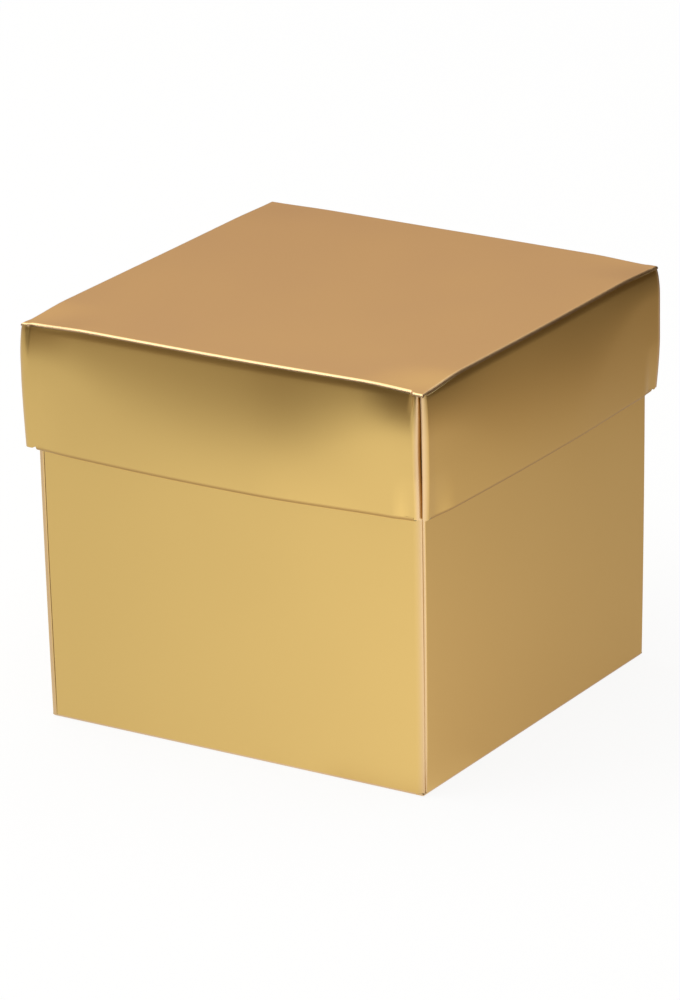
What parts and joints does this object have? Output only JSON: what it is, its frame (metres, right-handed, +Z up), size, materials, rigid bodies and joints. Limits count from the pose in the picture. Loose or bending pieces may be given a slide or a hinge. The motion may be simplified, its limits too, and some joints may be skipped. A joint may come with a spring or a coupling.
{
  "type": "favor box",
  "caption": "Square favor box of satin gold foil card: a folded base with web corners and a lift-off lid whose bowed skirts slide over it.",
  "frame": {"origin": "centre of the base's underside", "axes": "+Z up through the middle of the base and the lid, front towards -Y; the front and back skirts bow most, so the box is longest along Y"},
  "size_m": [0.0544, 0.0558, 0.0484],
  "materials": {
    "gold_foil_card": "satin metallised gold foil laminated to white card",
    "white_backed_card": "satin gold foil on one side, uncoated white on the other"
  },
  "bodies": {
    "base": {"base_floor": "gold_foil_card", "base_front_wall": "gold_foil_card", "base_right_wall": "gold_foil_card", "base_back_wall": "gold_foil_card", "base_left_wall": "gold_foil_card", "base_front_flap": "gold_foil_card", "base_right_flap": "gold_foil_card", "base_back_flap": "gold_foil_card", "base_left_flap": "gold_foil_card", "base_front_right_web": "white_backed_card", "base_back_right_web": "white_backed_card", "base_back_left_web": "white_backed_card", "base_front_left_web": "white_backed_card"},
    "lid": {"lid_top": "gold_foil_card", "lid_front_skirt": "gold_foil_card", "lid_right_skirt": "gold_foil_card", "lid_back_skirt": "gold_foil_card", "lid_left_skirt": "gold_foil_card", "lid_front_flap": "gold_foil_card", "lid_right_flap": "gold_foil_card", "lid_back_flap": "gold_foil_card", "lid_left_flap": "gold_foil_card", "lid_front_right_web": "white_backed_card", "lid_back_right_web": "white_backed_card", "lid_back_left_web": "white_backed_card", "lid_front_left_web": "white_backed_card"}
  },
  "joints": [
    {"name": "lid_lift", "type": "slide", "parent": "base", "child": "lid", "axis": [0, 0, 1], "range_m": [0, 0.07]}
  ]
}
